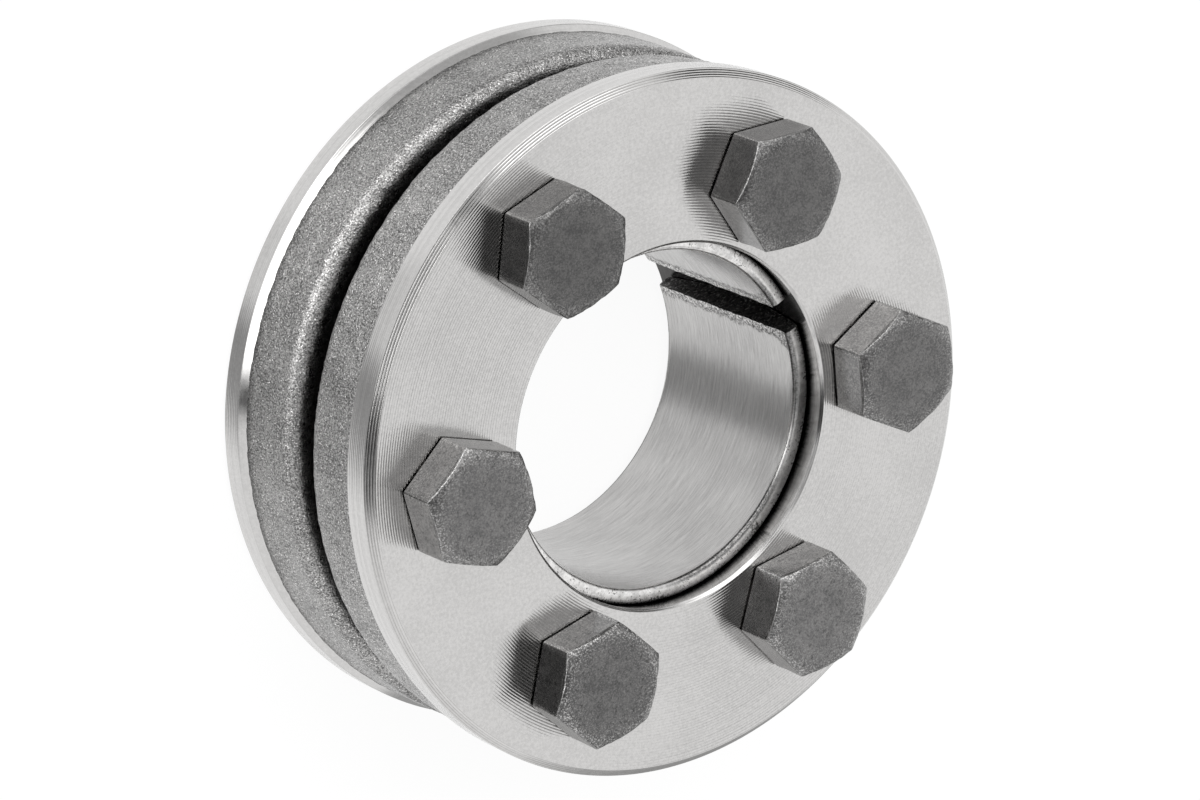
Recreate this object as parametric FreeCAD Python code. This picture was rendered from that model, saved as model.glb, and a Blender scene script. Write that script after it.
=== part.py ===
import FreeCAD, Part
import math
import os

# Three-part shrink disc: two thrust rings with taper bores are drawn together
# by six hexagon bolts over a slit inner ring with a double taper.
# Millimetres and degrees. The axis is +Z, the origin is the centre of the
# rear face, on which the disc rests, and the bolt heads look up.

# Main sizes
outer_diameter = 50.0
bore_diameter = 24.0
ring_width = 8.1
ring_gap = 2.0

# Rim of a thrust ring: a turned land at the outer face, forged skin behind it
face_chamfer = 0.55
front_land_width = 2.0
rear_land_width = 1.6
land_edge_radius = 0.12
forged_step = 0.4
forged_corner_radius = 1.1

# Turned grooves in the chamfer of the outer face
chamfer_groove_count = 4
chamfer_groove_depth = 0.04
chamfer_groove_share = 0.7

# Taper bore of a thrust ring
mouth_chamfer = 0.2
bore_back_radius = 0.3

# Inner ring
inner_ring_length = 15.2
inner_ring_recess = 1.8
inner_ring_end_wall = 1.1
inner_ring_ridge_width = 2.4
inner_ring_bore_edge_radius = 0.35
inner_ring_end_radius = 0.22
inner_ring_ridge_radius = 0.3
slit_width = 2.4
slit_direction = 21.7

# Fit of the tapers
taper_half_angle = 8.0
taper_clearance = 0.06

# Bolts, M5 x 16, fully threaded
bolt_count = 6
thread_diameter = 5.0
thread_allowance = 0.05
thread_fit_clearance = 0.05
bolt_length = 16.0
bolt_tip_chamfer = 0.6
bolt_neck_radius = 0.2
head_across_flats = 7.9
head_height = 3.5
head_chamfer_angle = 30.0
head_flat_share = 0.95
washer_face_diameter = 7.4
washer_face_height = 0.15

# Bolt circle, as a share of the way from the bore to the rim
bolt_circle_share = 6 / 13

# How far each head is turned about its own axis
head_turns = [30.3, 59.5, 18.3, 41.0, 13.0, 8.8]

# Holes for the bolts
clearance_hole_diameter = 5.5
tapped_hole_chamfer = 0.5

# Places and radii that follow from the sizes above
outer_radius = outer_diameter / 2
bore_radius = bore_diameter / 2
taper_slope = math.tan(math.radians(taper_half_angle))
front_face = 2 * ring_width + ring_gap
inner_ring_top = front_face - inner_ring_recess
inner_ring_bottom = inner_ring_top - inner_ring_length
inner_ring_end = bore_radius + inner_ring_end_wall
ridge_rise = (inner_ring_length - inner_ring_ridge_width) / 2
inner_ring_ridge = inner_ring_end + ridge_rise * taper_slope
bolt_circle_radius = bore_radius + bolt_circle_share * (outer_radius - bore_radius)
shank_radius = thread_diameter / 2 - thread_allowance
tapped_hole_radius = shank_radius + thread_fit_clearance

origin = FreeCAD.Vector(0, 0, 0)
up = FreeCAD.Vector(0, 0, 1)


def point(radius, height):
    """A point of a turned section."""
    return FreeCAD.Vector(radius, 0, height)


def rounded_corner(before, corner, after, radius):
    """The two ends and the middle of the arc that rounds one corner."""
    to_before = (before - corner).normalize()
    to_after = (after - corner).normalize()
    half_angle = to_before.getAngle(to_after) / 2
    reach = radius / math.tan(half_angle)
    inwards = (to_before + to_after).normalize()
    middle = corner + inwards * (radius / math.sin(half_angle) - radius)
    return corner + to_before * reach, middle, corner + to_after * reach


def section_wire(corners):
    """A closed section through (radius, height, rounding) corners."""
    places = [point(radius, height) for radius, height, rounding in corners]
    arcs = []
    for i, (radius, height, rounding) in enumerate(corners):
        if rounding:
            after = places[(i + 1) % len(places)]
            arcs.append(rounded_corner(places[i - 1], places[i], after, rounding))
        else:
            arcs.append((places[i], None, places[i]))
    edges = []
    for i, (start, middle, end) in enumerate(arcs):
        if middle:
            edges.append(Part.Arc(start, middle, end).toShape())
        edges.append(Part.LineSegment(end, arcs[(i + 1) % len(arcs)][0]).toShape())
    return Part.Wire(edges)


def turned(corners):
    """The solid of a section turned once round the axis."""
    return Part.Face(section_wire(corners)).revolve(origin, up, 360)


def around_bolt_circle(shape):
    """Copies of a shape, one at each bolt."""
    copies = []
    for i in range(bolt_count):
        copy = shape.copy()
        copy.translate(FreeCAD.Vector(bolt_circle_radius, 0, 0))
        copy.rotate(origin, up, i * 360 / bolt_count)
        copies.append(copy)
    return copies


def chamfer_grooves():
    """(radius, depth) pairs of the grooved chamfer, from the face outwards."""
    pitch = face_chamfer / chamfer_groove_count
    half_groove = chamfer_groove_share * pitch / 2
    edge = outer_radius - face_chamfer
    inset = chamfer_groove_depth * math.sqrt(0.5)
    pairs = [(edge, 0)]
    for i in range(chamfer_groove_count):
        bottom = (i + 0.5) * pitch
        start = bottom - half_groove
        end = bottom + half_groove
        pairs.append((edge + start, start))
        pairs.append((edge + bottom - inset, bottom + inset))
        pairs.append((edge + end, end))
    pairs.append((outer_radius, face_chamfer))
    return pairs


def thrust_ring(face, inwards, land_width, recess):
    """A thrust ring: face is the height of its outer face, inwards is the
    sign of the way to its back, and recess is how deep the inner ring lies."""
    forged_radius = outer_radius - forged_step
    land_end = face_chamfer + land_width
    mouth = inner_ring_end + taper_clearance + (mouth_chamfer - recess) * taper_slope
    back = inner_ring_end + taper_clearance + (ring_width - recess) * taper_slope
    profile = [(radius, depth, 0) for radius, depth in chamfer_grooves()]
    profile.append((outer_radius, land_end, land_edge_radius))
    profile.append((forged_radius, land_end + forged_step, 0))
    profile.append((forged_radius, ring_width, forged_corner_radius))
    profile.append((back, ring_width, bore_back_radius))
    profile.append((mouth, mouth_chamfer, 0))
    profile.append((mouth + mouth_chamfer, 0, 0))
    corners = [(radius, face + inwards * depth, rounding) for radius, depth, rounding in profile]
    return turned(corners)


def front_thrust_ring():
    """The upper ring, with clearance holes for the bolts."""
    ring = thrust_ring(front_face, -1, front_land_width, inner_ring_recess)
    foot = point(0, front_face - ring_width)
    hole = Part.makeCylinder(clearance_hole_diameter / 2, ring_width, foot)
    return ring.cut(around_bolt_circle(hole))


def tapped_hole():
    """One hole of the rear ring, plain at the thread, chamfered at both ends."""
    wide = tapped_hole_radius + tapped_hole_chamfer
    return turned([
        (0, 0, 0),
        (wide, 0, 0),
        (tapped_hole_radius, tapped_hole_chamfer, 0),
        (tapped_hole_radius, ring_width - tapped_hole_chamfer, 0),
        (wide, ring_width, 0),
        (0, ring_width, 0),
    ])


def rear_thrust_ring():
    """The lower ring, with the tapped holes."""
    ring = thrust_ring(0, 1, rear_land_width, inner_ring_bottom)
    return ring.cut(around_bolt_circle(tapped_hole()))


def slit():
    """The saw cut through one side of the inner ring."""
    length = inner_ring_ridge + slit_width
    corner = FreeCAD.Vector(0, -slit_width / 2, inner_ring_bottom)
    cut = Part.makeBox(length, slit_width, inner_ring_length, corner)
    cut.rotate(origin, up, slit_direction)
    return cut


def inner_ring():
    """The slit ring with a straight bore and a taper towards each end."""
    top = inner_ring_top
    bottom = inner_ring_bottom
    ring = turned([
        (bore_radius, top, inner_ring_bore_edge_radius),
        (inner_ring_end, top, inner_ring_end_radius),
        (inner_ring_ridge, top - ridge_rise, inner_ring_ridge_radius),
        (inner_ring_ridge, bottom + ridge_rise, inner_ring_ridge_radius),
        (inner_ring_end, bottom, inner_ring_end_radius),
        (bore_radius, bottom, inner_ring_bore_edge_radius),
    ])
    return ring.cut(slit())


def head_blank():
    """The turned form that chamfers the top of a hexagon head."""
    top = front_face + head_height
    flat_radius = head_flat_share * head_across_flats / 2
    reach = head_across_flats
    fall = (reach - flat_radius) * math.tan(math.radians(head_chamfer_angle))
    return turned([
        (0, front_face, 0),
        (reach, front_face, 0),
        (reach, top - fall, 0),
        (flat_radius, top, 0),
        (0, top, 0),
    ])


def hexagon_head(turn):
    """A hexagon head above its washer face, turned about its own axis."""
    foot = front_face + washer_face_height
    corner_radius = head_across_flats / math.sqrt(3)
    corners = []
    for i in range(7):
        angle = math.radians(turn + 60 * i)
        x = corner_radius * math.cos(angle)
        y = corner_radius * math.sin(angle)
        corners.append(FreeCAD.Vector(x, y, foot))
    height = FreeCAD.Vector(0, 0, head_height - washer_face_height)
    prism = Part.Face(Part.makePolygon(corners)).extrude(height)
    return prism.common(head_blank())


def bolt_shank():
    """The threaded shank, with its tip, its neck and the washer face."""
    tip = front_face - bolt_length
    washer_radius = washer_face_diameter / 2
    return turned([
        (0, tip, 0),
        (shank_radius - bolt_tip_chamfer, tip, 0),
        (shank_radius, tip + bolt_tip_chamfer, 0),
        (shank_radius, front_face, bolt_neck_radius),
        (washer_radius, front_face, 0),
        (washer_radius, front_face + washer_face_height, 0),
        (0, front_face + washer_face_height, 0),
    ])


def clamping_bolt(number):
    """A whole bolt in its place on the bolt circle."""
    direction = number * 360 / bolt_count
    turn = head_turns[number % len(head_turns)] - direction
    bolt = bolt_shank().fuse(hexagon_head(turn)).removeSplitter()
    bolt.translate(FreeCAD.Vector(bolt_circle_radius, 0, 0))
    bolt.rotate(origin, up, direction)
    return bolt


def write(name, shape):
    """Writes one sub-part as a single solid."""
    solid = shape.Solids[0]
    if not solid.isValid():
        raise ValueError(name + " is not a valid solid")
    solid.exportStep("parts/" + name + ".step")


def main():
    os.makedirs("parts", exist_ok=True)
    write("rear_thrust_ring", rear_thrust_ring())
    write("inner_ring", inner_ring())
    write("front_thrust_ring", front_thrust_ring())
    for number in range(bolt_count):
        write("clamping_bolt_" + str(number + 1), clamping_bolt(number))


main()
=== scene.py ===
import math

import bpy
from mathutils import Matrix, Vector, geometry, noise


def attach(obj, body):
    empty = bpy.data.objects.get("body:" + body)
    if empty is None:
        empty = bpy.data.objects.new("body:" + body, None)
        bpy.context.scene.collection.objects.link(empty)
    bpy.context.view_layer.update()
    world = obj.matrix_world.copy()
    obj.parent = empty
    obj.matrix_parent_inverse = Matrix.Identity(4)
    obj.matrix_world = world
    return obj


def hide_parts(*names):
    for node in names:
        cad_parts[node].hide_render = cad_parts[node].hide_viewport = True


# A three-part shrink disc: two turned and forged thrust rings, a slit inner
# ring between them, and six black hexagon bolts. Lengths are in millimetres,
# and become metres where a mesh, a light or the camera is made.
MM = 0.001

# Main sizes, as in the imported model
OUTER_RADIUS = 25.0
BORE_RADIUS = 12.0
RING_WIDTH = 8.1
FRONT_FACE = 18.2
FACE_CHAMFER = 0.55
FRONT_LAND = 2.0
REAR_LAND = 1.6
FORGED_STEP = 0.4
FORGED_CORNER = 1.1
GROOVES = 4
GROOVE_DEPTH = 0.04
GROOVE_SHARE = 0.7
LAND_EDGE = 0.12
MOUTH_CHAMFER = 0.2
BACK_ROUNDING = 0.3
TAPER = math.tan(math.radians(8.0))
TAPER_CLEARANCE = 0.06

# Inner ring
INNER_TOP = 16.4
INNER_BOTTOM = 1.2
END_WALL = 1.1
RIDGE_WIDTH = 2.4
BORE_ROUNDING = 0.35
END_ROUNDING = 0.22
RIDGE_ROUNDING = 0.3
SLIT_WIDTH = 2.4
SLIT_DIRECTION = 21.7
# Directions of the two sectors where the inner ring's bore edge gets a painted shade
SHADE_DIRECTIONS = (298.0, 15.0)

# Bolts
BOLT_COUNT = 6
BOLT_CIRCLE = 18.0
BOLT_TIP = 2.2
SHANK_RADIUS = 2.45
THREAD_PITCH = 0.8
THREAD_DEPTH = 0.49
THREAD_PLAY = 0.05
TIP_CHAMFER = 0.6
NECK_LENGTH = 0.9
HEAD_TURNS = (30.3, 59.5, 18.3, 41.0, 13.0, 8.8)
HEAD_TONES = (1.15, 0.96, 0.88, 1.32, 1.05, 1.38)
HEAD_FLAT = 3.95
HEAD_HEIGHT = 3.5
HEAD_TOP_RADIUS = 3.7525
HEAD_SLOPE = math.tan(math.radians(30.0))
HEAD_CORNER = 0.16
HEAD_DENT = 0.16
HEAD_GRIT = (0.5, 0.25, 0.2, 0.8, 1.0, 0.9)
WASHER_RADIUS = 3.7
WASHER_HEIGHT = 0.15
HEAD_EDGE = 0.03
CLEARANCE_HOLE = 2.75
HOLE_CHAMFER = 0.5

# Fineness of the meshes
RIM_STEPS = 720
INNER_STEPS = 480
HOLE_STEPS = 64
HEAD_STEPS = 16
FORGED_ROW = 0.2
THREAD_ROW = 0.1
BORE_ROWS = 40
END_ROWS = 3
TAPER_ROWS = 8

# Pitches of the tool marks on the outer faces and on the lands
FACE_PITCH = 0.205
LAND_PITCH = 0.21

# Radius where the painted shade of the gap begins, how far the ledge's normals
# lean outwards, and the height where the rear ring's forged skin begins
GAP_SHADE_RADIUS = 23.35
LEDGE_LEAN = 0.52
REAR_LAND_END = FACE_CHAMFER + REAR_LAND + FORGED_STEP

# Darkest and lightest black oxide of the bolts
OXIDE_DARK = (0.103, 0.102, 0.102, 1.0)
OXIDE_LIGHT = (0.172, 0.169, 0.167, 1.0)

# Slopes of the turned grooves, and the pitch of those on the tapers
FACE_LEAN = 0.16
LAND_LEAN = 0.14
TAPER_LEAN = 0.10
TAPER_PITCH = 0.1

# Depth of the forged relief, and of the lumps on the inner ring's end faces
FORGED_RELIEF = 0.075
END_RELIEF = 0.009

# Faces that meet at more than this angle keep a sharp edge
SHARP_RING = 28.0
SHARP_BOLT = 32.0

# The photograph's camera, in the row frame
LENS = 198.40
CAMERA_PLACE = (-243.669, 155.701, 367.057)
CAMERA_RIGHT = (0.80917987, -0.07188016, 0.58314765)
CAMERA_UP = (0.25355652, 0.93803671, -0.23621222)
CAMERA_FORWARD = (0.53003493, -0.33899906, -0.77726611)

# Panels and gaps of the white surroundings: azimuth, half width, lowest and
# highest elevation, softness of the sides, and change of brightness
STUDIO = (
    (147.0, 27.0, -18.0, 14.0, 7.0, 2.2),
    (115.0, 13.0, 3.0, 26.0, 7.0, 2.6),
    (82.0, 22.0, 18.0, 44.0, 8.0, 1.5),
    (86.0, 34.0, -36.0, 4.0, 8.0, -0.45),
    (150.0, 20.0, -64.0, -40.0, 8.0, -0.16),
    (148.0, 24.0, -95.0, -68.0, 8.0, -0.7),
    (108.0, 10.0, 31.0, 38.0, 4.0, -1.6),
    (187.0, 16.0, 22.0, 62.0, 4.0, -0.97),
    (183.0, 18.0, -95.0, -5.0, 8.0, -0.62),
    (142.0, 20.0, 32.0, 42.0, 5.0, -0.55),
    (182.0, 5.0, -4.0, 16.0, 3.0, -0.9),
    (-50.0, 46.0, 66.0, 78.0, 6.0, -0.6),
    (168.0, 36.0, 44.0, 72.0, 8.0, -0.64),
    (-54.0, 13.0, 20.0, 38.0, 4.0, -0.6),
    (0.0, 200.0, 74.0, 95.0, 1.0, -0.6),
    (95.0, 18.0, 48.0, 60.0, 6.0, 1.4),
    (31.0, 19.0, -8.0, 19.0, 6.0, -1.0),
    (-63.0, 21.0, -46.0, 4.0, 3.0, -0.55),
)

# Softness of the panels' lower and upper ends, in degrees
PANEL_SOFTNESS = 5.0

# Key lamp: azimuth, elevation, distance, size and power
KEY_LAMP = (120.0, 60.0, 0.6, 0.3, 1.5)

# Floor: half its width, how far it lies under the disc, and how white it looks
FLOOR_HALF = 4.0
FLOOR_GAP = 1e-5
FLOOR_WHITE = 0.93


# Meshes


class Skin:
    """Points and faces of one closed piece, each face with its material."""

    def __init__(self):
        self.points = []
        self.faces = []
        self.zones = []
        self.wear_and_shade = []
        self.tone = 1.0
        self.grit = 0.0

    def ring(self, points, wear_and_shade=0.0):
        """Adds points and gives their numbers back."""
        first = len(self.points)
        self.points.extend(points)
        self.wear_and_shade.extend([wear_and_shade] * len(points))
        return list(range(first, first + len(points)))

    def bridge(self, lower, upper, zone, closed=True):
        """Quads between two rows with the same number of points."""
        count = len(lower)
        for i in range(count if closed else count - 1):
            j = (i + 1) % count
            self.faces.append((lower[i], lower[j], upper[j], upper[i]))
            self.zones.append(zone)

    def face(self, corners, zone):
        self.faces.append(tuple(corners))
        self.zones.append(zone)

    def flat(self, loops, inside, zone, upwards):
        """Fills the plane between closed loops of points that it already has."""
        numbers = [i for loop in loops for i in loop]
        places = [Vector(self.points[i][:2]) for i in numbers]
        edges = []
        start = 0
        for loop in loops:
            n = len(loop)
            edges.extend((start + i, start + (i + 1) % n) for i in range(n))
            start += n
        made = geometry.delaunay_2d_cdt(places, edges, [], 1, 1e-7, True)
        back = [numbers[ids[0]] for ids in made[3]]
        for triangle in made[2]:
            corners = [made[0][i] for i in triangle]
            middle = sum(corners, Vector((0, 0))) / 3
            if not inside(middle):
                continue
            area = (corners[1] - corners[0]).cross(corners[2] - corners[0])
            order = [back[i] for i in triangle]
            if (area > 0) != upwards:
                order.reverse()
            self.face(order, zone)

    def build(self, name, materials, sharp):
        """The finished object, in metres, with its faces pointing outwards."""
        mesh = bpy.data.meshes.new(name)
        mesh.from_pydata([Vector(p) * MM for p in self.points], [], self.faces)
        for material in materials:
            mesh.materials.append(material)
        mesh.polygons.foreach_set("material_index", self.zones)
        mesh.polygons.foreach_set("use_smooth", [True] * len(self.faces))
        count = len(self.points)
        # Kept per point: real edge wear on the bolts and painted shade in the rings' chamfer
        # grooves, then a tone and a grit for each bolt.
        kept = {"wear_and_shade": self.wear_and_shade, "tone": [self.tone] * count, "grit": [self.grit] * count}
        for key, values in kept.items():
            mesh.attributes.new(key, "FLOAT", "POINT").data.foreach_set("value", values)
        mesh.update()
        mesh.set_sharp_from_angle(angle=math.radians(sharp))
        piece = bpy.data.objects.new(name, mesh)
        bpy.context.scene.collection.objects.link(piece)
        return piece


def around(radius, height, steps, centre=(0.0, 0.0)):
    """Points of a level circle."""
    points = []
    for i in range(steps):
        angle = 2 * math.pi * i / steps
        x = centre[0] + radius * math.cos(angle)
        y = centre[1] + radius * math.sin(angle)
        points.append((x, y, height))
    return points


def grain(point, size, seed):
    """Smooth noise from -1 to 1 in space, of about that size."""
    return noise.noise(Vector(point) / size + Vector((seed, 3.7 * seed, 0.0)))


def arc(centre, radius, first, last, count):
    """(radius, height) points of an arc, angles in degrees."""
    points = []
    for i in range(count + 1):
        a = math.radians(first + (last - first) * i / count)
        points.append((centre[0] + radius * math.cos(a), centre[1] + radius * math.sin(a)))
    return points


# Materials


class Graph:
    """The nodes of a material or of the world, and short ways to add them."""

    def __init__(self, owner):
        self.owner = owner
        owner.use_nodes = True
        self.tree = owner.node_tree
        self.tree.nodes.clear()
        self.places = self.node("ShaderNodeTexCoord").outputs
        self.place = self.places["Object"]

    def node(self, kind, inputs=None, **settings):
        made = self.tree.nodes.new(kind)
        for key, value in settings.items():
            setattr(made, key, value)
        for key, value in (inputs or {}).items():
            self.put(made.inputs[key], value)
        return made

    def put(self, socket, value):
        if isinstance(value, bpy.types.NodeSocket):
            self.tree.links.new(value, socket)
        else:
            socket.default_value = value

    def math(self, operation, a, b=0.0, c=0.0, clamp=False):
        inputs = {0: a, 1: b}
        if operation == "MULTIPLY_ADD":
            inputs[2] = c
        return self.node("ShaderNodeMath", inputs, operation=operation, use_clamp=clamp).outputs[0]

    def weighted(self, a, first, b, second):
        """The sum of two values, each times its own weight."""
        return self.math("ADD", self.math("MULTIPLY", a, first), self.math("MULTIPLY", b, second))

    def vector(self, operation, a, b=(0.0, 0.0, 0.0)):
        return self.node("ShaderNodeVectorMath", {0: a, 1: b}, operation=operation).outputs[0]

    def scaled(self, a, factor):
        made = self.node("ShaderNodeVectorMath", {0: a}, operation="SCALE")
        self.put(made.inputs["Scale"], factor)
        return made.outputs[0]

    def step(self, value, low, high, first=0.0, last=1.0):
        """Smooth change from first to last while value goes from low to high."""
        inputs = {0: value, 1: low, 2: high, 3: first, 4: last}
        made = self.node("ShaderNodeMapRange", inputs, interpolation_type="SMOOTHSTEP")
        return made.outputs[0]

    def noise(self, size, detail=2.0, roughness=0.5, at=None):
        """Noise with features of about that size in millimetres."""
        made = self.node("ShaderNodeTexNoise")
        self.put(made.inputs["Vector"], self.place if at is None else at)
        self.put(made.inputs["Scale"], 1.0 / (size * MM))
        self.put(made.inputs["Detail"], detail)
        self.put(made.inputs["Roughness"], roughness)
        return made.outputs["Fac"]

    def mix(self, factor, a, b):
        made = self.node("ShaderNodeMix", data_type="RGBA")
        self.put(made.inputs[0], factor)
        self.put(made.inputs[6], a)
        self.put(made.inputs[7], b)
        return made.outputs[2]

    def bump(self, height, depth, normal=None):
        """Normal of a surface whose height goes up by depth millimetres."""
        made = self.node("ShaderNodeBump")
        self.put(made.inputs["Strength"], 1.0)
        self.put(made.inputs["Distance"], depth * MM)
        self.put(made.inputs["Height"], height)
        if normal is not None:
            self.put(made.inputs["Normal"], normal)
        return made.outputs[0]

    def parts(self):
        """x, y, height and radius of a point, in millimetres."""
        split = self.node("ShaderNodeSeparateXYZ", {0: self.scaled(self.place, 1.0 / MM)})
        x, y, z = split.outputs
        square = self.math("ADD", self.math("MULTIPLY", x, x), self.math("MULTIPLY", y, y))
        radius = self.math("SQRT", square)
        return x, y, z, radius

    def attribute(self, name):
        """A value kept at the points of the mesh."""
        return self.node("ShaderNodeAttribute", attribute_name=name).outputs["Fac"]

    def tilted(self, direction, amount):
        """The surface's normal, leant along a direction of the object."""
        normal = self.node("ShaderNodeNewGeometry").outputs["Normal"]
        lean = self.node("ShaderNodeVectorTransform", {0: self.scaled(direction, amount)},
                         vector_type="VECTOR", convert_from="OBJECT", convert_to="WORLD")
        return self.vector("NORMALIZE", self.vector("ADD", normal, lean.outputs[0]))

    def scallops(self, across, pitch, lean):
        """Slope across turned grooves, from -lean to lean over each one."""
        phase = self.math("FRACT", self.math("DIVIDE", across, pitch))
        return self.math("MULTIPLY", self.math("SUBTRACT", phase, 0.5), 2 * lean)

    def each_groove(self, across, pitch):
        """A random value from 0 to 1 for each turned groove."""
        number = self.math("FLOOR", self.math("DIVIDE", across, pitch))
        made = self.node("ShaderNodeTexWhiteNoise", {1: number}, noise_dimensions="1D")
        return made.outputs[0]

    def metal(self, color, roughness, normal):
        shader = self.node("ShaderNodeBsdfPrincipled")
        self.put(shader.inputs["Base Color"], color)
        self.put(shader.inputs["Roughness"], roughness)
        self.put(shader.inputs["Metallic"], 1.0)
        self.put(shader.inputs["Normal"], normal)
        out = self.node("ShaderNodeOutputMaterial")
        self.tree.links.new(shader.outputs[0], out.inputs[0])
        return self.owner


def grey(level, warmth=0.012):
    """A near-neutral grey with a trace of warmth."""
    return (level * (1 + warmth), level, level * (1 - warmth), 1.0)


def outward(g, x, y, radius):
    """Unit direction away from the axis."""
    parts = {0: g.math("DIVIDE", x, radius), 1: g.math("DIVIDE", y, radius)}
    return g.node("ShaderNodeCombineXYZ", parts).outputs[0]


def towards(g, x, y, direction):
    """How far a point lies in a direction, in degrees from the x axis."""
    angle = math.radians(direction)
    return g.weighted(x, math.cos(angle), y, math.sin(angle))


def streaked(g, x, y, z, stretch):
    """Place of a point with the height stretched, in metres."""
    tall = g.math("MULTIPLY", z, stretch)
    return g.scaled(g.node("ShaderNodeCombineXYZ", {0: x, 1: y, 2: tall}).outputs[0], MM)


def turned_face():
    """Outer faces of the thrust rings: bright, with concentric tool marks."""
    g = Graph(bpy.data.materials.new("turned_face"))
    x, y, _, radius = g.parts()
    depth = g.math("MULTIPLY_ADD", g.each_groove(radius, FACE_PITCH), 0.2, 0.9)
    slope = g.math("MULTIPLY", g.scallops(radius, FACE_PITCH, FACE_LEAN), depth)
    normal = g.tilted(outward(g, x, y, radius), slope)
    normal = g.bump(g.noise(0.16, 2.0, 0.6), 0.0012, normal)
    mottle = g.noise(0.24, 3.0, 0.75)
    tone = g.weighted(mottle, 0.75, g.noise(5.0, 2.0), 0.25)
    color = g.mix(g.step(tone, 0.36, 0.64), grey(0.545), grey(0.645))
    rough = g.step(g.noise(1.6, 3.0), 0.3, 0.7, 0.13, 0.17)
    return g.metal(color, rough, normal)


def turned_rim(name, lean):
    """Turned lands, chamfers and ledges of the rims: fine lines round the axis."""
    g = Graph(bpy.data.materials.new(name))
    x, y, z, radius = g.parts()
    turned = g.step(radius, OUTER_RADIUS - 0.01, OUTER_RADIUS - 0.002, 0.2, 1.0)
    slope = g.math("MULTIPLY", g.scallops(z, LAND_PITCH, LAND_LEAN), turned)
    up = g.node("ShaderNodeCombineXYZ", {2: 1.0}).outputs[0]
    normal = g.tilted(up, slope)
    if lean:
        out = g.scaled(outward(g, x, y, radius), lean)
        normal = g.vector("NORMALIZE", g.vector("ADD", normal, out))
    lines = g.each_groove(z, LAND_PITCH / 2)
    tone = g.weighted(lines, 0.25, g.noise(0.3, 3.0, 0.7), 0.75)
    color = g.mix(g.step(tone, 0.25, 0.75), grey(0.56), grey(0.66))
    worn_and_shaded = g.attribute("wear_and_shade")
    # Painted shade: the bottoms of the chamfer's grooves are painted up to 8 % darker.
    color = g.mix(g.step(worn_and_shaded, 0.5, 1.0, 0.0, 0.08), color, grey(0.06))
    rough = g.step(g.noise(1.2, 2.0), 0.3, 0.7, 0.10, 0.16)
    return g.metal(color, rough, normal)


def turned_taper():
    """Taper bores, bolt holes and the inner ring's tapers: greyer, finely turned."""
    g = Graph(bpy.data.materials.new("turned_taper"))
    x, y, z, _ = g.parts()
    slope = g.scallops(z, TAPER_PITCH, TAPER_LEAN)
    up = g.node("ShaderNodeCombineXYZ", {2: 1.0}).outputs[0]
    normal = g.tilted(up, slope)
    streaks = g.noise(2.4, 3.0, 0.7, at=streaked(g, x, y, z, 14.0))
    color = g.mix(g.step(streaks, 0.35, 0.65), grey(0.24), grey(0.34))
    # Painted shade and light: deeper than 1.6 mm under the front face the colour is painted 0.28
    # times as light, and near the front ring's mouth up to 1.85 times lighter.
    color = g.scaled(color, g.step(z, FRONT_FACE - 1.6, FRONT_FACE - 0.35, 0.28, 1.85))
    return g.metal(color, 0.2, normal)


def forged_skin():
    """Rims and backs of the thrust rings: grainy, blasted forging skin."""
    g = Graph(bpy.data.materials.new("forged_skin"))
    _, _, z, radius = g.parts()
    coarse = g.noise(0.45, 2.0, 0.6)
    fine = g.noise(0.13, 2.0, 0.7)
    normal = g.bump(coarse, 0.05)
    normal = g.bump(fine, 0.055, normal)
    tone = g.weighted(fine, 0.85, g.noise(2.4, 2.0), 0.15)
    color = g.mix(g.step(tone, 0.38, 0.62), grey(0.12), grey(0.48))
    glint = g.step(g.noise(0.11, 1.0, 0.5), 0.62, 0.69)
    color = g.mix(glint, color, grey(0.95))
    # Painted shade: towards the gap between the rings the forged skin is painted dark grey.
    inner = g.step(radius, GAP_SHADE_RADIUS - 0.55, GAP_SHADE_RADIUS + 0.55)
    color = g.mix(inner, grey(0.06), color)
    # Painted shade: in the corner above the rear ring's ledge the forged skin is painted down to
    # 0.55 times as light.
    color = g.scaled(color, g.step(z, REAR_LAND_END, REAR_LAND_END + 0.8, 0.55, 1.0))
    rough = g.step(coarse, 0.3, 0.7, 0.26, 0.38)
    return g.metal(color, rough, normal)


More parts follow.
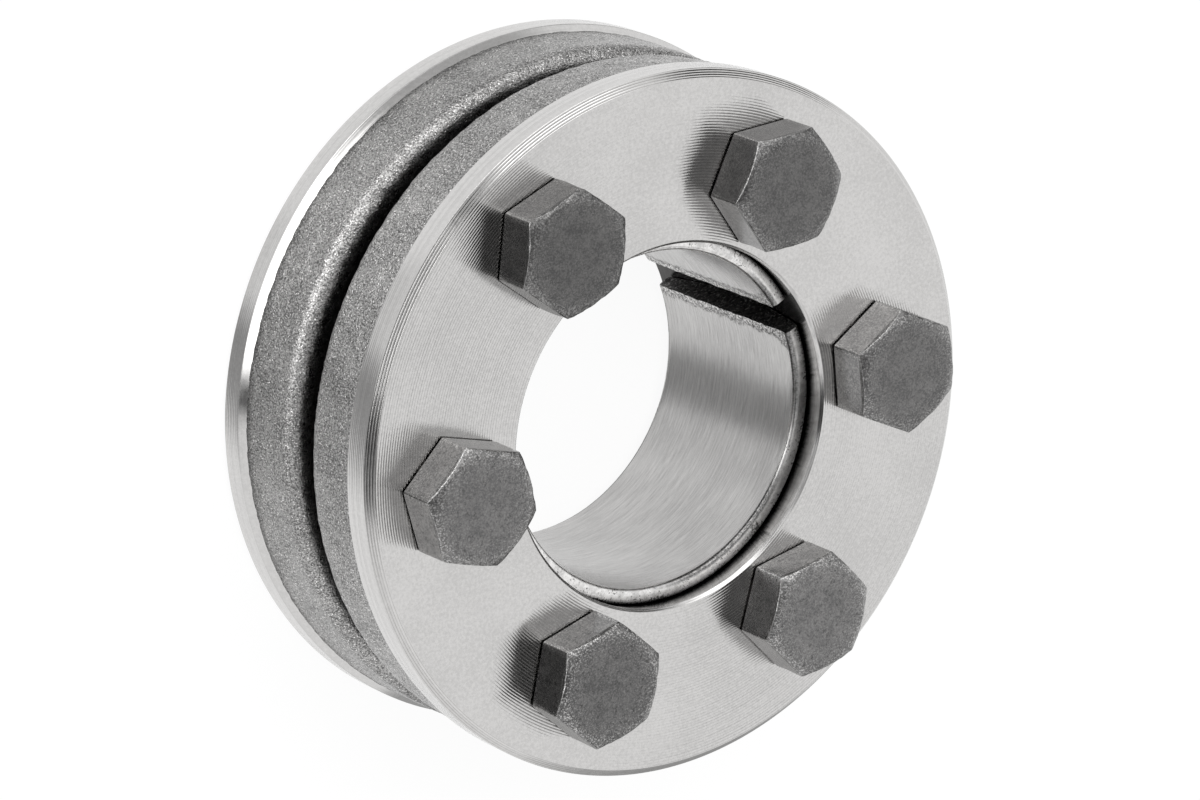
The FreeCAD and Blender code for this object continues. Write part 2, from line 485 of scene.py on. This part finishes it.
def black_oxide():
    """Bolts: dark, slightly brown oxide, scuffed bright on the edges."""
    g = Graph(bpy.data.materials.new("black_oxide"))
    worn_and_shaded = g.attribute("wear_and_shade")
    tint = g.attribute("tone")
    cloud = g.noise(1.3, 4.0, 0.7)
    speck = g.noise(0.16, 2.0, 0.7)
    normal = g.bump(g.noise(0.9, 3.0, 0.6), 0.010)
    normal = g.bump(speck, 0.004, normal)
    tone = g.weighted(cloud, 0.4, speck, 0.6)
    oxide = g.mix(g.step(tone, 0.38, 0.62), OXIDE_DARK, OXIDE_LIGHT)
    oxide = g.scaled(oxide, tint)
    _, _, z, _ = g.parts()
    top = FRONT_FACE + HEAD_HEIGHT
    # Painted light: the head's lower chamfer and its sides are painted 1.65 times lighter than its
    # top.
    oxide = g.scaled(oxide, g.step(z, top - 0.5, top - 0.4, 1.65, 1.0))
    scrape = g.math("MULTIPLY", g.math("SUBTRACT", g.noise(0.4, 4.0, 0.75), 0.5), 2.6)
    dust = g.math("ADD", worn_and_shaded, g.math("MULTIPLY", g.math("SUBTRACT", speck, 0.5), 1.4))
    color = g.mix(g.step(dust, 0.2, 1.1, 0.0, 0.7), oxide, grey(0.32))
    scuff = g.step(g.math("ADD", worn_and_shaded, scrape), 0.95, 1.35)
    color = g.mix(scuff, color, grey(0.55))
    grit = g.attribute("grit")
    salt = g.step(g.noise(0.13, 2.0, 0.7), 0.53, 0.60)
    salt = g.math("MULTIPLY", salt, g.math("MULTIPLY_ADD", worn_and_shaded, 2.4, 0.16))
    salt = g.math("MULTIPLY", salt, g.math("MULTIPLY_ADD", grit, 0.8, 0.3))
    color = g.mix(g.math("MULTIPLY", salt, 0.75, clamp=True), color, grey(0.55))
    pits = g.step(g.noise(0.3, 3.0, 0.7), 0.34, 0.44, 1.0, 0.0)
    color = g.mix(g.math("MULTIPLY", pits, g.math("MULTIPLY", grit, 0.6)), color, grey(0.06))
    rough = g.step(z, top - 0.55, top - 0.45, 0.26, 0.36)
    return g.metal(color, rough, normal)


def honed_bore():
    """Bore of the inner ring: uneven streaks round the axis, a burr by the slit."""
    g = Graph(bpy.data.materials.new("honed_bore"))
    x, y, z, _ = g.parts()
    lines = g.noise(2.4, 4.0, 0.8, at=streaked(g, x, y, z, 14.0))
    hair = g.noise(2.0, 3.0, 0.8, at=streaked(g, x, y, z, 60.0))
    broad = g.noise(6.0, 2.0)
    normal = g.bump(hair, 0.003)
    tone = g.weighted(lines, 0.4, hair, 0.45)
    tone = g.math("ADD", tone, g.math("MULTIPLY", broad, 0.15))
    color = g.mix(g.step(tone, 0.36, 0.64), grey(0.36), grey(0.58))
    along = towards(g, x, y, SLIT_DIRECTION)
    aside = g.math("ABSOLUTE", towards(g, x, y, SLIT_DIRECTION + 90.0))
    ragged = g.math("MULTIPLY", g.math("SUBTRACT", g.noise(0.35, 4.0, 0.8), 0.5), 1.6)
    lump = g.step(z, INNER_TOP - 1.7, INNER_TOP - 0.4, 0.0, 0.8)
    reach = g.math("SUBTRACT", g.math("ADD", aside, ragged), lump)
    burr = g.step(reach, SLIT_WIDTH / 2 + 0.35, SLIT_WIDTH / 2 + 0.6, 1.0, 0.0)
    burr = g.math("MULTIPLY", burr, g.math("GREATER_THAN", along, 0.0))
    torn = g.mix(g.step(g.noise(0.16, 3.0, 0.8), 0.40, 0.60), grey(0.09), grey(0.70))
    color = g.mix(burr, color, torn)
    normal = g.bump(g.math("MULTIPLY", burr, g.noise(0.3, 3.0, 0.7)), 0.08, normal)
    return g.metal(color, 0.25, normal)


def inner_end():
    """End faces and bore edges of the inner ring: bright, pitted outside."""
    g = Graph(bpy.data.materials.new("inner_end"))
    x, y, z, radius = g.parts()
    smear = g.noise(0.5, 4.0, 0.75, at=streaked(g, x, y, z, 2.0))
    pits = g.weighted(g.noise(0.15, 2.0, 0.6), 0.6, g.noise(1.4, 2.0), 0.4)
    outer = g.step(radius, BORE_RADIUS + 0.5, BORE_RADIUS + END_WALL, 0.0, 0.10)
    hole = g.step(g.math("SUBTRACT", pits, outer), 0.37, 0.40, 1.0, 0.0)
    color = g.mix(g.step(smear, 0.36, 0.64), grey(0.62), grey(0.92))
    # Painted shade: in two sectors facing these directions the bore edge is painted dark grey, as
    # a dark reflection would show it.
    sector = 0.0
    for direction in SHADE_DIRECTIONS:
        facing = g.math("DIVIDE", towards(g, x, y, direction), radius)
        sector = g.math("MAXIMUM", g.step(facing, 0.80, 0.95), sector)
    grit = g.noise(0.14, 2.0, 0.7)
    edge_shade = g.mix(g.step(grit, 0.4, 0.6), grey(0.12), grey(0.30))
    edge = g.step(radius, BORE_RADIUS + 0.22, BORE_RADIUS + 0.42, 1.0, 0.0)
    color = g.mix(g.math("MULTIPLY", sector, edge), color, edge_shade)
    color = g.mix(g.math("MULTIPLY", hole, 0.85), color, grey(0.08))
    normal = g.bump(smear, 0.012)
    return g.metal(color, 0.28, normal)


def sawn_slit():
    """Cut faces of the slit: almost black, granular."""
    g = Graph(bpy.data.materials.new("sawn_slit"))
    lumps = g.noise(0.35, 3.0, 0.7)
    normal = g.bump(lumps, 0.08)
    color = g.mix(g.step(lumps, 0.35, 0.65), grey(0.04), grey(0.16))
    glint = g.step(g.noise(0.18, 2.0, 0.6), 0.56, 0.64)
    color = g.mix(glint, color, grey(0.5))
    return g.metal(color, 0.5, normal)


# Thrust rings

FACE, RIM, FORGED, BORED, LEDGE = range(5)


def chamfer_profile():
    """(radius, depth, painted shade) of the grooved chamfer, from the face outwards: the groove
    bottoms get a painted shade.
    """
    pitch = FACE_CHAMFER / GROOVES
    edge = OUTER_RADIUS - FACE_CHAMFER
    inset = GROOVE_DEPTH * math.sqrt(0.5)
    half = pitch * GROOVE_SHARE / 2
    pairs = [(edge, 0.0, 0.0)]
    for i in range(GROOVES):
        middle = (i + 0.5) * pitch
        pairs.append((edge + middle - half, middle - half, 0.0))
        pairs.append((edge + middle - inset, middle + inset, 1.0))
        pairs.append((edge + middle + half, middle + half, 0.0))
    pairs.append((OUTER_RADIUS, FACE_CHAMFER, 0.0))
    return pairs


def forged_profile(land_end):
    """(radius, depth) rows of the forged rim, its rounding and its back."""
    radius = OUTER_RADIUS - FORGED_STEP
    start = land_end + FORGED_STEP
    end = RING_WIDTH - FORGED_CORNER
    count = round((end - start) / FORGED_ROW)
    rows = [(radius, start + (end - start) * i / count) for i in range(count)]
    rows += arc((radius - FORGED_CORNER, end), FORGED_CORNER, 0.0, 90.0, 9)
    rows += [(radius - FORGED_CORNER - 0.25 * i, RING_WIDTH) for i in range(1, 5)]
    return rows


def roughened(radius, depth, angle, seed):
    """How far the grain presses a point of the forged skin in."""
    place = (radius * math.cos(angle), radius * math.sin(angle), depth)
    lumps = 0.5 * grain(place, 0.9, seed) + 0.5 * grain(place, 0.42, seed + 5)
    return FORGED_RELIEF * (lumps - 0.6)


def bolt_place(number):
    """Where the axis of a bolt stands."""
    direction = math.radians(number * 360 / BOLT_COUNT)
    return BOLT_CIRCLE * math.cos(direction), BOLT_CIRCLE * math.sin(direction)


def thrust_ring(name, face, inwards, land, recess, holes, seed, materials):
    """A thrust ring, from its face height and the way to its back."""
    skin = Skin()
    land_end = FACE_CHAMFER + land

    def height(depth):
        return face + inwards * depth

    def join(lower, upper, zone):
        if inwards < 0:
            lower, upper = upper, lower
        skin.bridge(upper, lower, zone)

    rows = []
    for radius, depth, wear_and_shade in chamfer_profile():
        rows.append((skin.ring(around(radius, height(depth), RIM_STEPS), wear_and_shade), RIM))
    reach = LAND_EDGE * math.tan(math.radians(22.5))
    edge = arc((OUTER_RADIUS - LAND_EDGE, land_end - reach), LAND_EDGE, 0.0, 45.0, 4)
    for r, d in edge:
        rows.append((skin.ring(around(r, height(d), RIM_STEPS)), RIM))
    profile = forged_profile(land_end)
    for index, (radius, depth) in enumerate(profile):
        points = []
        first, last = index == 0, index >= len(profile) - 2
        for i in range(RIM_STEPS):
            angle = 2 * math.pi * i / RIM_STEPS
            press = 0.0 if last else roughened(radius, depth, angle, seed)
            r, d = radius, depth
            if first:
                press = min(0.0, press * 0.9)
                r, d = radius + press, depth - press
            elif depth < RING_WIDTH - FORGED_CORNER:
                r = radius + press
            else:
                beyond = max(1e-6, radius - (OUTER_RADIUS - FORGED_STEP - FORGED_CORNER))
                lean = math.atan2(depth - (RING_WIDTH - FORGED_CORNER), beyond)
                r, d = radius + press * math.cos(lean), depth + press * math.sin(lean)
            points.append((r * math.cos(angle), r * math.sin(angle), height(d)))
        rows.append((skin.ring(points), LEDGE if first else FORGED))
    for (lower, _), (upper, zone) in zip(rows, rows[1:]):
        join(lower, upper, zone)

    mouth = BORE_RADIUS + END_WALL + TAPER_CLEARANCE + (MOUTH_CHAMFER - recess) * TAPER
    back = BORE_RADIUS + END_WALL + TAPER_CLEARANCE + (RING_WIDTH - recess) * TAPER
    bore = [(mouth + MOUTH_CHAMFER, 0.0, RIM), (mouth, MOUTH_CHAMFER, BORED)]
    depth = RING_WIDTH - BACK_ROUNDING
    bore.append((mouth + (depth - MOUTH_CHAMFER) * TAPER, depth, BORED))
    for r, d in arc((back + BACK_ROUNDING, depth), BACK_ROUNDING, 160.0, 90.0, 3):
        bore.append((r, d, FORGED))
    inner = [(skin.ring(around(r, height(d), RIM_STEPS)), zone) for r, d, zone in bore]
    for (lower, _), (upper, zone) in zip(inner, inner[1:]):
        join(upper, lower, zone)

    centres = [bolt_place(number) for number in range(BOLT_COUNT)]
    tops, bottoms = [], []
    for centre in centres:
        loops = [skin.ring(loop) for loop in holes(centre, height)]
        for lower, upper in zip(loops, loops[1:]):
            join(upper, lower, BORED)
        tops.append(loops[0])
        bottoms.append(loops[-1])

    def open_metal(low, hole):
        within = low * math.cos(math.pi / RIM_STEPS) - 5e-5

        def test(middle):
            if middle.length < within:
                return False
            return all((middle - Vector(c)).length > hole for c in centres)
        return test

    opening = math.dist(centres[0], skin.points[tops[0][0]][:2])
    wide = opening * math.cos(math.pi / HOLE_STEPS) - 1e-4
    up = inwards < 0
    skin.flat([rows[0][0], inner[0][0]] + tops, open_metal(bore[0][0], wide), FACE, up)
    skin.flat([rows[-1][0], inner[-1][0]] + bottoms, open_metal(bore[-1][0], wide), FORGED, not up)
    return skin.build(name, materials, SHARP_RING)


def plain_hole(centre, height):
    """Loops of a drilled hole."""
    return [around(CLEARANCE_HOLE, height(d), HOLE_STEPS, centre) for d in (0.0, RING_WIDTH)]


def thread(height, angle, major):
    """Radius of a right-hand thread at a height and angle."""
    turn = (height / THREAD_PITCH - angle / (2 * math.pi)) % 1.0
    fall = (abs(turn - 0.5) * 2 - 0.125) / 0.625
    return major - THREAD_DEPTH * min(1.0, max(0.0, fall))


def tapped_hole(centre, height):
    """Loops of a tapped hole with a chamfer at both ends."""
    count = round(RING_WIDTH / THREAD_ROW)
    loops = []
    for k in range(count + 1):
        z = RING_WIDTH * k / count
        edge = SHANK_RADIUS + THREAD_PLAY + HOLE_CHAMFER - min(z, RING_WIDTH - z)
        loop = []
        for i in range(HOLE_STEPS):
            angle = 2 * math.pi * i / HOLE_STEPS
            radius = max(edge, thread(z, angle, SHANK_RADIUS + THREAD_PLAY))
            x = centre[0] + radius * math.cos(angle)
            y = centre[1] + radius * math.sin(angle)
            loop.append((x, y, height(z)))
        loops.append(loop)
    return loops


# Inner ring

HONED, ENDS, TAPERED, SAWN = range(4)


def inner_ring(name, materials):
    """The slit ring, swept from one face of the slit round to the other."""
    rise = (INNER_TOP - INNER_BOTTOM - RIDGE_WIDTH) / 2
    end = BORE_RADIUS + END_WALL
    ridge = end + rise * TAPER
    length = INNER_TOP - INNER_BOTTOM
    rows = []
    low, high = INNER_BOTTOM + BORE_ROUNDING, INNER_TOP - BORE_ROUNDING
    for i in range(BORE_ROWS + 1):
        rows.append((BORE_RADIUS, low + (high - low) * i / BORE_ROWS, HONED))
    for r, z in arc((BORE_RADIUS + BORE_ROUNDING, high), BORE_ROUNDING, 180.0, 90.0, 4)[1:]:
        rows.append((r, z, ENDS))
    inside = BORE_RADIUS + BORE_ROUNDING
    outside = end - END_ROUNDING
    for i in range(1, END_ROWS + 1):
        rows.append((inside + (outside - inside) * i / END_ROWS, INNER_TOP, ENDS))
    for r, z in arc((outside, INNER_TOP - END_ROUNDING), END_ROUNDING, 90.0, 8.0, 4)[1:]:
        rows.append((r, z, ENDS))
    for i in range(1, TAPER_ROWS + 1):
        fall = rise * i / TAPER_ROWS
        rows.append((end + rise * TAPER * i / TAPER_ROWS, INNER_TOP - fall, TAPERED))
    rows += [(r, INNER_TOP + INNER_BOTTOM - z, zone) for r, z, zone in rows[:BORE_ROWS:-1]]
    skin = Skin()
    loops = []
    for index, (radius, z, zone) in enumerate(rows):
        gap = math.degrees(math.asin(SLIT_WIDTH / 2 / radius))
        points = []
        for i in range(INNER_STEPS + 1):
            share = i / INNER_STEPS
            angle = math.radians(SLIT_DIRECTION + gap + (360 - 2 * gap) * share)
            place = (radius * math.cos(angle), radius * math.sin(angle), z)
            h = z
            edge = min(i, INNER_STEPS - i)
            if zone == ENDS:
                lump = grain(place, 0.5, 11.0) + 0.6 * grain(place, 0.22, 17.0)
                h -= math.copysign(END_RELIEF * (1 + lump), z - (INNER_TOP + INNER_BOTTOM) / 2)
            if edge == 0 and zone == HONED:
                angle += math.copysign(0.006, share - 0.5) * (1 + grain(place, 0.25, 23.0) * 2)
            points.append((radius * math.cos(angle), radius * math.sin(angle), h))
        loops.append(skin.ring(points))
    count = len(loops)
    for k in range(count):
        upper = loops[(k + 1) % count]
        zone = rows[(k + 1) % count][2]
        if k == count - 1:
            zone = ENDS
        skin.bridge(upper, loops[k], zone, closed=False)
    skin.face([loop[0] for loop in loops], SAWN)
    skin.face([loop[-1] for loop in reversed(loops)], SAWN)
    return skin.build(name, materials, SHARP_RING)


# Bolts


def hexagon(turn):
    """(x, y, nearness to a corner) of a hexagon with rounded corners."""
    outline = []
    corner = HEAD_FLAT / math.cos(math.pi / 6)
    centre = corner - HEAD_CORNER / math.cos(math.pi / 6)
    for side in range(6):
        middle = turn + 60 * side
        for i in range(4):
            a = math.radians(middle - 30 + 60 * i / 3)
            base = math.radians(middle)
            x = centre * math.cos(base) + HEAD_CORNER * math.cos(a)
            y = centre * math.sin(base) + HEAD_CORNER * math.sin(a)
            outline.append((x, y, 1.0))
        last = outline[-1]
        base = math.radians(middle + 60)
        a = math.radians(middle + 30)
        next_x = centre * math.cos(base) + HEAD_CORNER * math.cos(a)
        next_y = centre * math.sin(base) + HEAD_CORNER * math.sin(a)
        count = HEAD_STEPS - 3
        for i in range(1, count):
            t = i / count
            x = last[0] + (next_x - last[0]) * t
            y = last[1] + (next_y - last[1]) * t
            outline.append((x, y, 0.0))
    return outline


def bolt(name, number, material):
    """A hexagon bolt with a real thread, in its place on the bolt circle."""
    skin = Skin()
    skin.tone = HEAD_TONES[number]
    skin.grit = HEAD_GRIT[number]
    cx, cy = bolt_place(number)
    outline = hexagon(HEAD_TURNS[number])
    top = FRONT_FACE + HEAD_HEIGHT
    foot = FRONT_FACE + WASHER_HEIGHT

    def loop(scale_to, height_of, wear_of):
        points, wear_and_shade = [], []
        for x, y, corner in outline:
            full = math.hypot(x, y)
            radius = scale_to(full)
            h = height_of(full)
            place = (cx + x * radius / full, cy + y * radius / full, h)
            used = wear_of(corner)
            if used > 0.3:
                dent = HEAD_DENT * used * max(0.0, grain(place, 0.55, number + 31.0))
                share = (radius - dent) / full
                place = (cx + x * share, cy + y * share, h - dent * 0.6)
            points.append(place)
            wear_and_shade.append(used)
        numbers = skin.ring(points)
        for n, value in zip(numbers, wear_and_shade):
            skin.wear_and_shade[n] = value
        return numbers

    def shoulder(full):
        return top - (full - HEAD_TOP_RADIUS) * HEAD_SLOPE

    soft = HEAD_EDGE

    def near_edge(full):
        return max(HEAD_TOP_RADIUS + 0.03, full - 1.6 * soft)

    def near_shoulder(full):
        return min(top - 0.03, shoulder(full) + 1.6 * soft * HEAD_SLOPE)

    rows = [
        loop(lambda f: 0.55 * HEAD_TOP_RADIUS, lambda f: top, lambda c: 0.0),
        loop(lambda f: 0.9 * HEAD_TOP_RADIUS, lambda f: top, lambda c: 0.12),
        loop(lambda f: HEAD_TOP_RADIUS - 0.06, lambda f: top, lambda c: 0.35),
        loop(lambda f: HEAD_TOP_RADIUS + 0.02, lambda f: top - 0.02, lambda c: 0.4),
        loop(near_edge, near_shoulder, lambda c: 0.42 + 0.1 * c),
        loop(lambda f: f - 0.35 * soft, lambda f: shoulder(f) - 0.12 * soft, lambda c: 0.9),
        loop(lambda f: f, lambda f: shoulder(f) - 0.9 * soft, lambda c: 0.85),
        loop(lambda f: f, lambda f: shoulder(f) - 0.10, lambda c: 0.25 + 0.4 * c),
        loop(lambda f: f, lambda f: shoulder(f) - 0.4, lambda c: 0.1 + 0.5 * c),
        loop(lambda f: f, lambda f: foot + 1.2, lambda c: 0.05 + 0.6 * c),
        loop(lambda f: f, lambda f: foot + 0.08, lambda c: 0.3 + 0.4 * c),
        loop(lambda f: f - 0.08, lambda f: foot, lambda c: 0.3),
        loop(lambda f: WASHER_RADIUS, lambda f: foot, lambda c: 0.0),
        loop(lambda f: WASHER_RADIUS, lambda f: FRONT_FACE, lambda c: 0.0),
    ]
    skin.face(rows[0], 0)
    for upper, lower in zip(rows, rows[1:]):
        skin.bridge(lower, upper, 0)

    steps = len(outline) // 2
    angles = [math.atan2(y, x) for x, y, _ in outline[::2]]
    neck = FRONT_FACE - NECK_LENGTH
    count = round((FRONT_FACE - BOLT_TIP) / THREAD_ROW)
    shank = []
    for k in range(count + 1):
        z = FRONT_FACE - (FRONT_FACE - BOLT_TIP) * k / count
        points = []
        for angle in angles:
            radius = SHANK_RADIUS if z > neck else thread(z, angle, SHANK_RADIUS)
            radius = min(radius, SHANK_RADIUS - TIP_CHAMFER + (z - BOLT_TIP))
            points.append((cx + radius * math.cos(angle), cy + radius * math.sin(angle), z))
        shank.append(skin.ring(points, 0.1))
    for i in range(steps):
        j = (i + 1) % steps
        a, b, c = rows[-1][2 * i], rows[-1][2 * i + 1], rows[-1][(2 * i + 2) % len(outline)]
        skin.face((shank[0][i], shank[0][j], c, b, a), 0)
    for upper, lower in zip(shank, shank[1:]):
        skin.bridge(lower, upper, 0)
    skin.face(list(reversed(shank[-1])), 0)
    return skin.build(name, [material], SHARP_BOLT)


# Stage


def studio():
    """White surroundings, with lighter and darker panels that only metal sees."""
    world = bpy.data.worlds.new("studio")
    g = Graph(world)
    x, y, z = g.node("ShaderNodeSeparateXYZ", {0: g.places["Generated"]}).outputs
    azimuth = g.math("MULTIPLY", g.math("ARCTAN2", y, x), 180 / math.pi)
    elevation = g.math("MULTIPLY", g.math("ARCSINE", z), 180 / math.pi)

    def window(value, low, high, soft):
        rise = g.step(value, low - soft, low + soft)
        fall = g.step(value, high - soft, high + soft, 1.0, 0.0)
        return g.math("MULTIPLY", rise, fall)

    def turned_to(middle):
        """Degrees of azimuth away from a direction, from -180 to 180."""
        away = g.math("ADD", azimuth, 540.0 - middle)
        return g.math("SUBTRACT", g.math("MODULO", away, 360.0), 180.0)

    change = 0.0
    for middle, wide, low, high, soft, amount in STUDIO:
        sides = window(turned_to(middle), -wide, wide, soft)
        panel = g.math("MULTIPLY", sides, window(elevation, low, high, PANEL_SOFTNESS))
        change = g.math("ADD", change, g.math("MULTIPLY", panel, amount))
    paths = g.node("ShaderNodeLightPath").outputs
    unseen = g.math("SUBTRACT", 1.0, paths["Is Camera Ray"])
    level = g.math("MAXIMUM", g.math("ADD", g.math("MULTIPLY", change, unseen), 1.0), 0.0)
    background = g.node("ShaderNodeBackground", {0: (1.0, 1.0, 1.0, 1.0), 1: level})
    out = g.node("ShaderNodeOutputWorld")
    g.tree.links.new(background.outputs[0], out.inputs[0])
    bpy.context.scene.world = world


def floor():
    """A plain pale floor that turns white to the camera but for the shadow."""
    g = Graph(bpy.data.materials.new("pale_floor"))
    paths = g.node("ShaderNodeLightPath").outputs
    pale = g.node("ShaderNodeBsdfDiffuse", {0: (1.0, 1.0, 1.0, 1.0)})
    white = g.node("ShaderNodeEmission", {0: (1.0, 1.0, 1.0, 1.0), 1: 1.0})
    open_air = g.node("ShaderNodeBsdfTransparent")
    dressed = g.node("ShaderNodeMixShader", {0: FLOOR_WHITE})
    g.tree.links.new(pale.outputs[0], dressed.inputs[1])
    g.tree.links.new(white.outputs[0], dressed.inputs[2])
    seen = g.node("ShaderNodeMixShader", {0: paths["Is Camera Ray"]})
    g.tree.links.new(pale.outputs[0], seen.inputs[1])
    g.tree.links.new(dressed.outputs[0], seen.inputs[2])
    mirrored = g.math("MAXIMUM", paths["Is Glossy Ray"], paths["Is Transmission Ray"])
    whole = g.node("ShaderNodeMixShader", {0: mirrored})
    g.tree.links.new(seen.outputs[0], whole.inputs[1])
    g.tree.links.new(open_air.outputs[0], whole.inputs[2])
    out = g.node("ShaderNodeOutputMaterial")
    g.tree.links.new(whole.outputs[0], out.inputs[0])
    sides = ((-1, -1), (1, -1), (1, 1), (-1, 1))
    corners = [(x * FLOOR_HALF, y * FLOOR_HALF, -FLOOR_GAP) for x, y in sides]
    mesh = bpy.data.meshes.new("floor")
    mesh.from_pydata(corners, [], [(0, 1, 2, 3)])
    mesh.materials.append(g.owner)
    made = bpy.data.objects.new("floor", mesh)
    bpy.context.scene.collection.objects.link(made)


def key_lamp():
    """A plain soft lamp that faces the object, for its shadow on the floor."""
    azimuth, elevation, distance, size, power = KEY_LAMP
    data = bpy.data.lights.new("key", "AREA")
    data.shape = "RECTANGLE"
    data.size, data.size_y = size, size
    data.energy = power
    lamp = bpy.data.objects.new("key", data)
    bpy.context.scene.collection.objects.link(lamp)
    a, e = math.radians(azimuth), math.radians(elevation)
    back = Vector((math.cos(a) * math.cos(e), math.sin(a) * math.cos(e), math.sin(e)))
    lamp.location = back * distance
    lamp.rotation_mode = "QUATERNION"
    lamp.rotation_quaternion = (-back).to_track_quat("-Z", "Y")
    lamp.visible_camera = False
    lamp.visible_glossy = False


def camera():
    """The photograph's view."""
    data = bpy.data.cameras.new("camera")
    data.lens = LENS
    data.sensor_width = 36.0
    data.sensor_fit = "HORIZONTAL"
    data.clip_start, data.clip_end = 0.01, 20.0
    made = bpy.data.objects.new("camera", data)
    bpy.context.scene.collection.objects.link(made)
    right, up, forward = (Vector(v) for v in (CAMERA_RIGHT, CAMERA_UP, CAMERA_FORWARD))
    turn = Matrix((right, up, -forward)).transposed().to_4x4()
    made.matrix_world = Matrix.Translation(Vector(CAMERA_PLACE) * MM) @ turn
    bpy.context.scene.camera = made


def dress(piece, body, node):
    """The piece rides on a body and stands for a node, whose imported part is hidden."""
    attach(piece, body)
    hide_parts(node)


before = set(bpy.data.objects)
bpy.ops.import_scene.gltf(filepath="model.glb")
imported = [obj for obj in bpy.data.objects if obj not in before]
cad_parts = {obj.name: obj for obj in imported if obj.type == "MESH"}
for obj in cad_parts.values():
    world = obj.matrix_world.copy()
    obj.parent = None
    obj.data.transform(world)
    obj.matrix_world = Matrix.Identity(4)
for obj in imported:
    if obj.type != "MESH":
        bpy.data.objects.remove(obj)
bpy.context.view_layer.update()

ring_materials = [
    turned_face(),
    turned_rim("turned_rim", 0.0),
    forged_skin(),
    turned_taper(),
    turned_rim("turned_ledge", LEDGE_LEAN),
]
front_recess = FRONT_FACE - INNER_TOP
front = thrust_ring(
    "front_ring_metal", FRONT_FACE, -1, FRONT_LAND, front_recess, plain_hole, 1.0, ring_materials)
dress(front, "front_ring", "front_thrust_ring")
rear = thrust_ring(
    "rear_ring_metal", 0.0, 1, REAR_LAND, INNER_BOTTOM, tapped_hole, 2.0, ring_materials)
dress(rear, "rear_ring", "rear_thrust_ring")
sleeve_materials = [honed_bore(), inner_end(), ring_materials[BORED], sawn_slit()]
sleeve = inner_ring("inner_ring_metal", sleeve_materials)
dress(sleeve, "sleeve", "inner_ring")
oxide = black_oxide()
for number in range(BOLT_COUNT):
    label = str(number + 1)
    piece = bolt("bolt_metal_" + label, number, oxide)
    dress(piece, "bolt_" + label, "clamping_bolt_" + label)

studio()
floor()
key_lamp()
camera()
bpy.context.scene.view_settings.view_transform = "Standard"
